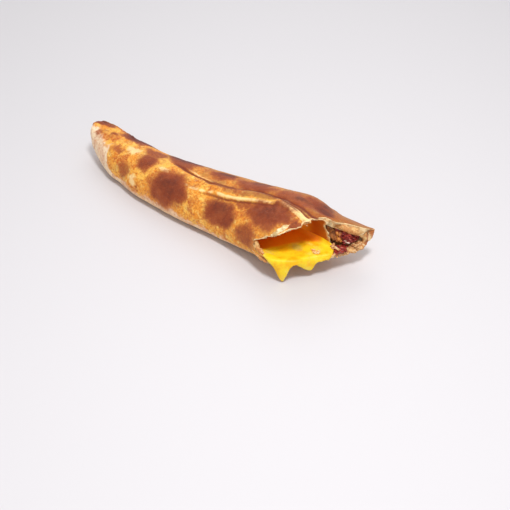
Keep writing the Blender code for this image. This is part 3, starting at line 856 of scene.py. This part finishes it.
# %% Helpers that scatter small rough lumps
def heap(name, grains, bend, seed):
    """One mesh of lumps; a grain is (middle, half sizes) in millimetres, turned at random."""
    rng = random.Random(seed)
    noise.seed_set(seed)  # noise_vector would take its shifts from the clock
    made = bmesh.new()
    tints = made.verts.layers.float.new("tint")
    for middle, sizes in grains:
        tilts = [rng.uniform(-0.5, 0.5), rng.uniform(-0.5, 0.5), rng.uniform(0.0, math.tau)]
        turn = Euler(tilts).to_matrix().to_4x4()
        scale = Matrix.Diagonal((*(size * MM for size in sizes), 1.0))
        place = Matrix.Translation(Vector(middle) * MM) @ turn @ scale
        tint = rng.random()
        lump = bmesh.ops.create_icosphere(made, subdivisions=2, radius=1.0, matrix=place)
        for vert in lump["verts"]:
            vert[tints] = tint
    for vert in made.verts:
        vert.co += noise.noise_vector(vert.co / (bend * 3.0 * MM)) * bend * MM
    mesh = bpy.data.meshes.new(name)
    made.to_mesh(mesh)
    made.free()
    mesh.shade_smooth()
    piece = bpy.data.objects.new(name, mesh)
    bpy.context.scene.collection.objects.link(piece)
    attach(piece, "root")
    return piece


def scattered(count, middle, spread, sizes, seed):
    """Grains round a middle, within a spread each way, with sizes that vary by a third."""
    rng = random.Random(seed)
    grains = []
    for _ in range(count):
        place = [m + s * rng.uniform(-1.0, 1.0) for m, s in zip(middle, spread)]
        size = rng.uniform(0.67, 1.33)
        grains.append((place, [s * size for s in sizes]))
    return grains


def strung(count, path, spread, sizes, seed):
    """Grains along a path of points, each a little off it."""
    rng = random.Random(seed)
    stops = np.array(path, float)
    steps = np.linalg.norm(np.diff(stops, axis=0), axis=1)
    distance = np.concatenate([[0.0], np.cumsum(steps)])
    grains = []
    for i in range(count):
        at = distance[-1] * (i + rng.random()) / count
        on_path = (np.interp(at, distance, stops[:, axis]) for axis in range(3))
        place = [value + spread * rng.uniform(-1.0, 1.0) for value in on_path]
        size = rng.uniform(0.65, 1.35)
        grains.append((place, [s * size for s in sizes]))
    return grains


# %% Roughen the core of the meat
core = copy_of("meat", "cured_meat")
subdivided(core, 2)
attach(core, "root")
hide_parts("meat")

points, normals = points_of(core), normals_of(core)
rough = ripples(points, (0.9, 4.0, 13), (0.5, 1.8, 14)) - 0.3
move_points(core, points + normals * rough[:, None])
# Near the divider the core is coloured as the dough wall, darkened with painted shade.
by_divider = smooth((15.5 - points[:, 1]) / 1.5 + 0.3 * ripple(points, 3.0, 15))
paint(core, "wall", by_divider * smooth((points[:, 0] - 120.0) / 6.0))
print("core of the meat:", len(points), "points")

# %% Lay shreds and bits of fat on the core
SHRED = (3.6, 1.0, 0.7)  # half sizes
rng = random.Random(5)
in_the_mouth = (points[:, 0] > 118.0) & (points[:, 1] > 15.0)
faces_out = (normals[:, 0] > -0.2) & (normals[:, 2] > -0.5)
front = [int(i) for i in np.flatnonzero(in_the_mouth & faces_out)]
grains = []
for i in rng.sample(front, min(len(front), 240)):
    size = rng.uniform(0.7, 1.3)
    grains.append((points[i] + 0.5 * normals[i], [half * size for half in SHRED]))
grains += scattered(26, (146.5, 6.5, 20.3), (4.0, 4.5, 0.5), (3.0, 1.0, 0.7), 6)
grains += scattered(20, (149.5, 12.5, 20.6), (2.6, 3.0, 0.5), (2.6, 1.0, 0.7), 7)
shreds = heap("meat_shreds", grains, 1.1, 8)
bits_of_fat = scattered(10, (150.5, 18.0, 27.0), (2.0, 4.4, 3.0), (1.5, 0.7, 0.6), 9)
fat = heap("meat_fat", bits_of_fat, 0.8, 10)
print("meat:", len(grains), "shreds and", len(bits_of_fat), "bits of fat")

# %% Colour the meat
for piece, name, dark, light, gloss in (
    (core, "meat_core", tone(74, 14, 12), tone(110, 34, 26), 0.5),
    (shreds, "meat_shreds", tone(116, 20, 18), tone(186, 72, 56), 0.28),
    (fat, "meat_fat", tone(232, 190, 170), tone(250, 226, 208), 0.25),
):
    tree, shader = own_material(piece, name, roughness=gloss)
    base = glazed(tree, dark, (light, 260.0, 0.42, 0.64, 1.0))
    base = layered(tree, base, light, mask_of(tree, "tint"), 0.35)
    # Dough wall colour in painted shade, where the core meets the divider.
    wall_in_shade = glazed(tree, tone(190, 118, 56), (tone(128, 70, 30), 300.0, 0.4, 0.62, 1.0))
    base = layered(tree, base, wall_in_shade, mask_of(tree, "wall"))
    link(tree, base, shader.inputs["Base Color"])
    rough_up(tree, shader, 900.0, 4.0, 0.6, 0.4)
    print(name + ":", len(tree.nodes), "nodes")

# %% [markdown]
# ## Torn dough round the mouth
# Tearing the bread leaves soft dough along the edge. The larger bits are strands, which are
# rounded tubes along a path with bumps on them: a flake that peeled off the roof, a pillar
# at the near corner with the strip it stands on, a knob where the flap ends, and the thick
# roof and sill of the rear pocket.

# %% Helper for rounded strands of dough
def strands(name, paths, bend, seed):
    """Rounded strands of dough, each along a path of (x, y, z, radius) points."""
    curve = bpy.data.curves.new(name, "CURVE")
    curve.dimensions, curve.use_fill_caps = "3D", True
    curve.bevel_depth, curve.bevel_resolution = MM, 5
    for path in paths:
        spline = curve.splines.new("NURBS")
        spline.points.add(len(path) - 1)
        for point, (px, py, pz, radius) in zip(spline.points, path):
            point.co, point.radius = (px * MM, py * MM, pz * MM, 1.0), radius
        spline.order_u, spline.use_endpoint_u, spline.resolution_u = 4, True, 10
    piece = bpy.data.objects.new(name, curve)
    bpy.context.scene.collection.objects.link(piece)
    only(piece)
    bpy.ops.object.convert(target="MESH")
    points, normals = points_of(piece), normals_of(piece)
    bumps = bend * ripples(points, (1.0, 3.4, seed), (0.6, 1.5, seed + 1))
    move_points(piece, np.clip(points + normals * bumps[:, None], low, high))
    bpy.ops.object.shade_smooth()
    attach(piece, "root")
    return piece


# %% Peel a flake off the roof's edge
FLAKE = (
    ((105.5, -36.2, 43.2, 0.8), (108.5, -34.8, 45.8, 2.1), (111.5, -32.9, 48.2, 2.3),
     (113.5, -30.9, 49.6, 1.3)),
    ((111, -32.9, 48.4, 1.0), (113.6, -30.2, 50.4, 2.6), (115.6, -27.4, 51.6, 2.3),
     (116.8, -25, 52.4, 0.9)),
)
flake = strands("peeled_flake", FLAKE, 0.9, 47)
tree, shader = own_material(flake, "flake", roughness=0.6)
base = glazed(
    tree, tone(246, 228, 178),
    (tone(206, 172, 112), 190.0, 0.46, 0.64, 1.0),
    (tone(176, 110, 60), 360.0, 0.58, 0.72, 0.6),
)
link(tree, base, shader.inputs["Base Color"])
print("flake:", len(flake.data.vertices), "points")

# %% Thicken the torn edges
PILLAR = (
    (86.8, -34.6, 31.5, 0.9), (88.6, -35.4, 28.5, 2.0), (90.4, -36.2, 25, 2.4),
    (92.2, -37.2, 21.5, 2.1), (94.5, -38.2, 18, 1.2),
)
LOWER_STRIP = (
    (86, -37.4, 20, 0.8), (93, -39.2, 17.6, 1.5), (99.5, -40.8, 17.4, 1.6),
    (104.5, -42.0, 18, 1.4), (109, -42.8, 18.6, 0.5),
)
PILLAR_FOOT = (
    (90, -36.8, 24.5, 1.8), (94, -37.4, 22.8, 2.1), (98, -38.2, 21.4, 1.9),
    (102.5, -39.8, 19.8, 1.3), (107, -41.4, 18.8, 0.5),
)
KNOB = (
    (123, -20, 53.2, 0.9), (125.4, -18.4, 54.6, 2.3), (128, -16.2, 55.2, 2.3),
    (130.4, -13.8, 55.4, 1.2),
)
REAR_ROOF = (
    (139.5, 12, 42, 1.2), (144, 14.5, 40, 3.0), (149, 17.5, 38, 3.7), (154, 21.5, 35.8, 3.7),
    (158, 26, 32.8, 3.4), (160, 30, 28, 2.9), (160, 29.6, 23, 2.4), (158, 27, 20, 1.2),
)
REAR_SILL = (
    (147, 5, 18.2, 0.8), (150.4, 10.5, 17.8, 1.7), (155, 17, 17.6, 2.0),
    (158, 23, 18.2, 2.0), (160.4, 29, 20.2, 1.9), (161, 33, 22.4, 1.0),
)
edges = (PILLAR, LOWER_STRIP, PILLAR_FOOT, KNOB, REAR_ROOF, REAR_SILL)
thick_edges = strands("thick_edges", edges, 0.9, 44)
points = points_of(thick_edges)
outermost = smooth((points[:, 1] - 26.5) / 3.0) * smooth((points[:, 0] - 157.0) / 3.0)
paint(thick_edges, "outer", outermost)
tree, shader = own_material(thick_edges, "thick_edges", roughness=0.6)
base = glazed(
    tree, tone(232, 188, 122),
    (tone(204, 138, 74), 160.0, 0.4, 0.58, 1.0),
    (tone(172, 98, 48), 420.0, 0.5, 0.68, 0.7),
)
base = marked(tree, base, tone(178, 96, 44), mask_of(tree, "outer"), 260.0, 0.9, 0.3, 0.85)
link(tree, base, shader.inputs["Base Color"])
rough_up(tree, shader, 800.0, 5.0, 0.6, 0.6)
print("thick edges:", len(edges), "strands,", len(points), "points")

# %% [markdown]
# The smallest bits are heaps of crumbs, made like the shreds of meat: brown ones on the
# divider's rear side, tan dough in painted shade, light ones on the knob and along the
# rear pocket's sill, and a few that fell on the cheese.

# %% Brown the crumbs behind the divider with painted shade
divider_grains = scattered(26, (142.6, 13.2, 29), (1.8, 1.8, 5.0), (1.9, 1.5, 1.6), 45)
shaded_crumbs = heap("shaded_divider_crumbs", divider_grains, 0.7, 46)
tree, shader = own_material(shaded_crumbs, "shaded_crumbs", roughness=0.6)
# The brown of these crumbs is tan dough in painted shade.
base = layered(tree, tone(212, 136, 60), tone(156, 88, 38), mask_of(tree, "tint"))
base = glazed(tree, base, (tone(120, 60, 26), 340.0, 0.54, 0.7, 0.6))
link(tree, base, shader.inputs["Base Color"])
print("stained crumbs:", len(divider_grains))

# %% Leave crumbs on the knob, the divider's foot and the sill
SILL = ((147, 3, 17.6), (151, 10, 17.0), (156, 18, 17.0), (158.8, 23, 17.8), (161, 29, 19.6))
light_grains = (
    scattered(12, (127, -16.8, 54.6), (2.4, 2.2, 1.4), (1.1, 0.9, 0.8), 32)
    + scattered(16, (142.4, 4.4, 23.2), (1.8, 2.6, 1.4), (1.2, 1.0, 0.9), 36)
    + scattered(80, (155.5, 23, 22.2), (3.4, 4.8, 1.4), (1.1, 0.9, 0.8), 38)
    + strung(90, SILL, 1.1, (1.2, 1.1, 1.2), 39)
)
lumps = heap("torn_lumps", light_grains, 0.65, 41)
tree, shader = own_material(lumps, "torn_lumps", roughness=0.7)
base = layered(tree, tone(238, 198, 142), tone(206, 142, 84), mask_of(tree, "tint"))
base = glazed(tree, base, (tone(158, 86, 42), 300.0, 0.5, 0.66, 0.8))
link(tree, base, shader.inputs["Base Color"])
rough_up(tree, shader, 900.0, 5.0, 0.65, 0.7)
print("light crumbs:", len(light_grains))

# %% Drop a few bits on the cheese
FALLEN = ((131.6, -8.6, 23.8), (133.6, -11.6, 23.9), (136.4, -11.6, 24.0), (137.8, -9.4, 23.9))
fallen_grains = strung(9, FALLEN, 0.6, (2.0, 1.3, 0.9), 42)
bits = heap("bits_on_cheese", fallen_grains, 0.6, 43)
tree, shader = own_material(bits, "bits", roughness=0.5)
base = glazed(tree, tone(252, 214, 142), (tone(226, 146, 70), 400.0, 0.46, 0.6, 1.0))
link(tree, base, shader.inputs["Base Color"])
print("bits on the cheese:", len(fallen_grains))

# %% [markdown]
# ## Floor, light and camera
# The half lies on a plain pale floor. Two square lamps light it, a small bright one from the
# front right and a large soft one from behind, and the world adds an even white.

# %% Lay the floor
bpy.ops.object.select_all(action="DESELECT")
bpy.ops.mesh.primitive_plane_add(size=6.0, location=(0.0, 0.0, 0.0))
floor = bpy.context.object
floor.name = "floor"
paper = bpy.data.materials.new("paper")
paper.use_nodes = True
paper_shader = paper.node_tree.nodes["Principled BSDF"]
paper_shader.inputs["Base Color"].default_value = tone(214, 211, 214)
floor.data.materials.append(paper)
print("floor:", floor.name)

# %% Place the lights
scene = bpy.context.scene
scene.view_settings.view_transform = "Standard"
world = bpy.data.worlds.new("studio")
scene.world = world
world.use_nodes = True
backdrop = world.node_tree.nodes["Background"]
backdrop.inputs["Color"].default_value = (1.0, 1.0, 1.0, 1.0)
backdrop.inputs["Strength"].default_value = 0.62


def softbox(name, place, power, size):
    """A square area light that looks at the middle of the pide."""
    bpy.ops.object.light_add(type="AREA", location=place)
    lamp = bpy.context.object
    lamp.name = name
    lamp.data.energy, lamp.data.size = power, size
    towards = Vector((0.0, 0.0, 0.03)) - Vector(place)
    lamp.rotation_euler = towards.to_track_quat("-Z", "Y").to_euler()
    return lamp


lamps = [
    softbox("key", (0.42, -0.28, 1.1), 9.5, 0.22),
    softbox("fill", (-0.4, 0.7, 0.8), 2.5, 0.8),
]
print("lights:", [lamp.name for lamp in lamps])

# %% Set the camera
CAMERA_AT = (0.51128, -0.59804, 0.54427)  # metres
CAMERA_TURN = (math.radians(53.0), 0.0, math.radians(37.0))
bpy.ops.object.camera_add(location=CAMERA_AT, rotation=CAMERA_TURN)
camera = bpy.context.object
camera.data.lens, camera.data.sensor_width = 70.588, 36.0
camera.data.clip_start = 0.01
scene.camera = camera
print("camera:", camera.name, "lens", camera.data.lens)
